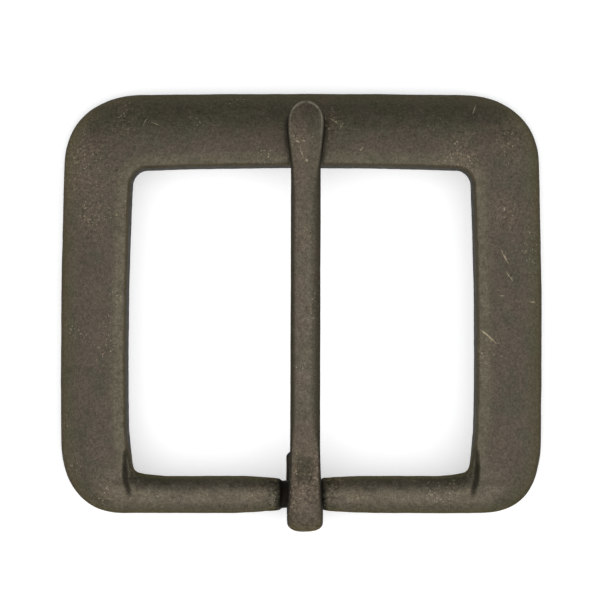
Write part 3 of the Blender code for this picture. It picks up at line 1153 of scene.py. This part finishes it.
# Lays the rubbed tone with its painted highlights, bare brass, grime and painted shade,
# unevenness, pits and the painted deep shade.
def aged(tree, colour, cloud, worn, rubbed_and_highlight_tone, grime_and_shade_tone):
    colour = layer(tree, worn.rubbed_and_highlight, colour, rubbed_and_highlight_tone)
    colour = layer(tree, worn.warmed, colour, WARM_BRASS)
    colour = layer(tree, worn.dark_cover, colour, grime_and_shade_tone)
    colour = layer(tree, 1.0, colour, unevenness(tree, cloud), "MULTIPLY")
    colour = layer(tree, worn.pitted, colour, grime_and_shade_tone)
    return layer(tree, worn.deep_shade, colour, DEEP_SHADE)


print("soot is", DEEP_SHADE[:3])

# %% [markdown]
# ## Bare metal on top
# Tiny cream and gold flecks gather in clusters: in a few clouds of their own, in the bare
# spots and among the grit, and hardly at all where grime and painted shade are thick. Small
# round pits are left from the mould. The scratches cross everything, because they came last.

# %% Flecks, pits and scratches
GOLD_FLECK = (0.26, 0.22, 0.145, 1)
CREAM_FLECK = (0.38, 0.35, 0.26, 1)
PIT_COLOUR = (0.020, 0.018, 0.013, 1)
SCRATCHED_BRASS = (0.33, 0.28, 0.19, 1)
CLUSTER = 5.5 * MM


def fleck_places(tree, cloud, worn):
    clusters = window(tree, grain(tree, cloud.spot, CLUSTER, 2, 0.5), 0.57, 0.70, 0.0, 0.8)
    clusters = sums(tree, "MAXIMUM", clusters, mark(tree, "bare"))
    gritty = times(tree, mark(tree, "grit"), sums(tree, "SUBTRACT", 1.0, worn.deep_shade))
    clusters = sums(tree, "MAXIMUM", clusters, times(tree, gritty, 0.6))
    return times(tree, clusters, window(tree, mark(tree, "grime_and_shade"), 0.5, 0.9, 1.0, 0.2))


def flecked(tree, colour, cloud, clusters, pits):
    torn = ragged(tree, cloud.spot, size=0.16 * MM, by=0.30 * MM)
    gold = specks(tree, torn, spacing=0.42 * MM, radius=0.16 * MM, share=0.42, cluster=clusters)
    cream = specks(tree, torn, spacing=0.24 * MM, radius=0.085 * MM, share=0.34, cluster=clusters)
    colour = layer(tree, times(tree, gold, 0.65), colour, GOLD_FLECK)
    colour = layer(tree, times(tree, cream, 0.75), colour, CREAM_FLECK)
    return layer(tree, times(tree, pits, 0.4), colour, PIT_COLOUR)


def scratched(tree, colour, cloud, nicks):
    path = ragged(tree, cloud.here, size=0.5 * MM, by=0.2 * MM)
    broken = window(tree, cloud.mottle, 0.35, 0.6, 0.15, 0.9)
    for across, up, *shape in nicks:
        place = (across * half_width, bar_middle.y + up * far_edge, rail_height)
        scratch = times(tree, nick(tree, path, place, *shape), broken)
        colour = layer(tree, scratch, colour, SCRATCHED_BRASS)
    return colour


print("gold flecks are", GOLD_FLECK[:3], "and cream ones", CREAM_FLECK[:3])

# %% [markdown]
# ## Shine and bumps
# Grime isn't metal, so it takes the metallic look away as well as the colour, and so does
# the painted shade, most of all the near-black painted deep shade. Rubbed crests are smoother,
# and grimy and painted-shade places duller. The grain that is too fine for the mesh is left to
# a bump, which is a few hundredths of a millimetre deep.

# %% Metal, dullness and bumps
BUMP_DEPTH = 0.022 * MM
COARSE_GRIT = 0.4 * MM


def metal_share(tree, worn):
    metal = window(tree, worn.dark_cover, 0.0, 1.0, 1.0, 0.55)
    return times(tree, metal, window(tree, worn.deep_shade, 0, 1, 1, 0.3))


def dullness(tree, cloud, worn):
    dull = window(tree, cloud.blotch, 0.3, 0.7, 0.46, 0.60)
    dull = sums(tree, "SUBTRACT", dull, times(tree, worn.rubbed_and_highlight, 0.08))
    return sums(tree, "ADD", dull, times(tree, worn.dark_cover, 0.16), clamp=True)


def bumps(tree, cloud, pits):
    height = sums(tree, "ADD", times(tree, cloud.mottle, 0.6), times(tree, cloud.fine, 0.35))
    coarse = times(tree, mark(tree, "grit"), grain(tree, cloud.spot, COARSE_GRIT, 3, 0.7))
    height = sums(tree, "ADD", height, times(tree, coarse, 3.0))
    height = sums(tree, "SUBTRACT", height, times(tree, pits, 1.6))
    bump = tree.nodes.new("ShaderNodeBump")
    bump.inputs["Strength"].default_value = 1.0
    bump.inputs["Distance"].default_value = BUMP_DEPTH
    wire(tree, height, bump.inputs["Height"])
    return bump.outputs["Normal"]


print(f"a full step of the bump is {BUMP_DEPTH / MM:.3f} mm")

# %% [markdown]
# ## The whole finish
# One function now lays every layer and wires the result into a metal shader. The tint at
# glancing angles and the strength of the gloss are the same all over, so they are set
# straight on the shader.

# %% Antiqued brass finish
EDGE_TINT, EDGE_GLOSS = (0.50, 0.46, 0.38, 1), 0.3


def antiqued_brass(name, brown, olive, green, rubbed_and_highlight_tone, grime_and_shade_tone, seed, nicks):
    material = bpy.data.materials.new(name)
    material.use_nodes = True
    tree = material.node_tree
    shader = tree.nodes["Principled BSDF"]
    shader.inputs["Specular Tint"].default_value = EDGE_TINT
    shader.inputs["Specular IOR Level"].default_value = EDGE_GLOSS

    cloud = clouds(tree, seed)
    worn = worn_places(tree, cloud)
    pits = specks(tree, cloud.spot, spacing=1.1 * MM, radius=0.17 * MM, share=0.10, cluster=1.0)
    colour = ground(tree, cloud, brown, olive, green)
    colour = aged(tree, colour, cloud, worn, rubbed_and_highlight_tone, grime_and_shade_tone)
    colour = flecked(tree, colour, cloud, fleck_places(tree, cloud, worn), pits)
    colour = scratched(tree, colour, cloud, nicks)
    wire(tree, colour, shader.inputs["Base Color"])
    wire(tree, metal_share(tree, worn), shader.inputs["Metallic"])
    wire(tree, dullness(tree, cloud, worn), shader.inputs["Roughness"])
    wire(tree, bumps(tree, cloud, pits), shader.inputs["Normal"])
    print(name, "has", len(tree.nodes), "nodes")
    return material


# %% [markdown]
# ## Finish the frame
# The frame is the darker of the two pieces. Its scratches are mostly on the right rail and
# the far rail, where the belt's end drags over the metal.

# %% Finish of the frame
NICKS = (  # across and up as for the bare spots, then length, width and angle
    (0.845, 0.595, 2.4 * MM, 0.20 * MM, -62),
    (0.865, 0.545, 1.8 * MM, 0.12 * MM, -55),
    (0.776, 0.397, 3.2 * MM, 0.24 * MM, -40),
    (0.834, 0.497, 0.7 * MM, 0.16 * MM, 0),
    (0.961, 0.482, 0.9 * MM, 0.16 * MM, -10),
    (-0.700, 0.430, 0.8 * MM, 0.16 * MM, 25),
    (0.140, 0.932, 2.4 * MM, 0.12 * MM, -32),
    (0.170, 0.920, 1.2 * MM, 0.14 * MM, 60),
    (-0.640, 0.934, 1.8 * MM, 0.11 * MM, 62),
    (-0.600, 0.925, 1.3 * MM, 0.11 * MM, -20),
    (0.720, 0.960, 1.6 * MM, 0.11 * MM, 70),
)
frame_finish = antiqued_brass(
    "antiqued_frame_brass",
    brown=(0.091, 0.073, 0.056, 1),
    olive=(0.076, 0.068, 0.050, 1),
    green=(0.079, 0.073, 0.049, 1),
    # The rubbed tone also gives painted highlights, and the grime tone painted shade.
    rubbed_and_highlight_tone=(0.112, 0.097, 0.070, 1),
    grime_and_shade_tone=(0.019, 0.018, 0.012, 1),
    seed=3,
    nicks=NICKS,
)
cast_frame.data.materials.append(frame_finish)

# %% [markdown]
# ## Finish the prong
# The prong is handled more, so its tones are lighter and warmer. Its few scratches are all
# at the tip, which a thumb pushes through the holes of the belt.

# %% Finish of the prong
PRONG_NICKS = (
    (0.026, 0.833, 0.5 * MM, 0.42 * MM, 20),
    (0.006, 0.850, 1.1 * MM, 0.20 * MM, -65),
    (-0.010, 0.880, 0.6 * MM, 0.30 * MM, -30),
)
prong_finish = antiqued_brass(
    "antiqued_prong_brass",
    brown=(0.103, 0.082, 0.062, 1),
    olive=(0.088, 0.077, 0.055, 1),
    green=(0.078, 0.070, 0.049, 1),
    # The rubbed tone also gives painted highlights, and the grime tone painted shade.
    rubbed_and_highlight_tone=(0.190, 0.172, 0.135, 1),
    grime_and_shade_tone=(0.022, 0.019, 0.013, 1),
    seed=11,
    nicks=PRONG_NICKS,
)
hooked_prong.data.materials.append(prong_finish)

# %% [markdown]
# ## A pale table
# The buckle lies on its flat back on plain, nearly white card. The table is a simple square
# much larger than the buckle, so that its edge stays out of every view. It is lit a little
# from below, as a light table is, which keeps the shadows pale. A touch of fine paper grain
# keeps it from looking like an empty void.

# %% Table
TABLE_SIZE = 6.0
TABLE_GLOW = 0.3
FIBRE = 0.8 * MM


def pale_card():
    material = bpy.data.materials.new("pale_card")
    material.use_nodes = True
    tree = material.node_tree
    shader = tree.nodes["Principled BSDF"]
    spot = tree.nodes.new("ShaderNodeTexCoord").outputs["Object"]
    fibre = grain(tree, spot, FIBRE)
    tone = layer(tree, fibre, (0.90, 0.90, 0.895, 1), (0.93, 0.93, 0.925, 1))
    wire(tree, tone, shader.inputs["Base Color"])
    wire(tree, window(tree, fibre, 0.3, 0.7, 0.85, 0.95), shader.inputs["Roughness"])
    shader.inputs["Specular IOR Level"].default_value = 0.1
    shader.inputs["Emission Color"].default_value = (1, 1, 1, 1)
    shader.inputs["Emission Strength"].default_value = TABLE_GLOW
    return material


table_mesh = bpy.data.meshes.new("table")
half_table = TABLE_SIZE / 2
corners = [(x, y, 0.0) for x, y in ((-1, -1), (1, -1), (1, 1), (-1, 1))]
table_mesh.from_pydata([Vector(corner) * half_table for corner in corners], [], [(0, 1, 2, 3)])
table_mesh.materials.append(pale_card())
table = bpy.data.objects.new("table", table_mesh)
bpy.context.scene.collection.objects.link(table)
print("table is", TABLE_SIZE, "m across")

# %% [markdown]
# ## Soft studio light
# Metal shows its surroundings, so the light is made of big, soft shapes: one large panel
# overhead and a little towards the heel, weaker ones low on the left, on the right and in
# front, and a pale room all round. The far side has no panel, and that, with the painted shade
# on the far rail's outer part, lets the far rail fall darker towards its outer edge and gives
# the form its depth.

# %% Panels and room
PANELS = (  # name, metres across, place, and power in watts
    ("overhead_panel", 1.6, (0.0, -0.25, 0.95), 7.8),
    ("left_panel", 1.2, (-1.05, 0.0, 0.5), 3.4),
    ("right_panel", 1.2, (1.05, 0.0, 0.5), 4.2),
    ("front_panel", 1.2, (0.0, -1.1, 0.5), 2.1),
)
ROOM_COLOUR, ROOM_STRENGTH = (0.96, 0.98, 1.0, 1), 0.55


def panel(name, size, place, power):
    data = bpy.data.lights.new(name, "AREA")
    data.shape, data.size, data.energy = "SQUARE", size, power
    light = bpy.data.objects.new(name, data)
    light.location = place
    light.rotation_euler = (-Vector(place)).to_track_quat("-Z", "Y").to_euler()
    bpy.context.scene.collection.objects.link(light)
    print(f"{name}: {power} W, {size} m across")


for described in PANELS:
    panel(*described)

room = bpy.data.worlds.new("pale_room")
room.use_nodes = True
room.node_tree.nodes["Background"].inputs["Color"].default_value = ROOM_COLOUR
room.node_tree.nodes["Background"].inputs["Strength"].default_value = ROOM_STRENGTH
bpy.context.scene.world = room
bpy.context.scene.view_settings.view_transform = "Standard"

# %% [markdown]
# ## The camera
# A small metal object looks right through a long lens from further away, because a short
# lens close up would stretch the rail that is nearest to it. The camera looks straight down
# on the face, with the far rail at the top, and its distance follows from the lens and from
# how much of the table has to fill the view.

# %% Camera
SENSOR, LENS = 36.0, 400.0
VIEW_WIDTH = 70.55 * MM
VIEWED_HEIGHT = 3.0 * MM  # the height at which the view is that wide
VIEW_SHIFT = (-0.15 * MM, 0.34 * MM)
middle = (frame_low + frame_high) / 2
camera_data = bpy.data.cameras.new("camera")
camera_data.sensor_width, camera_data.lens = SENSOR, LENS
camera_data.clip_start, camera_data.clip_end = 0.01, 20.0
camera = bpy.data.objects.new("camera", camera_data)
distance = LENS / SENSOR * VIEW_WIDTH
camera.location = (
    middle.x + VIEW_SHIFT[0],
    middle.y + VIEW_SHIFT[1],
    VIEWED_HEIGHT + distance,
)
bpy.context.scene.collection.objects.link(camera)
bpy.context.scene.camera = camera
print(f"camera {distance:.2f} m above the table")
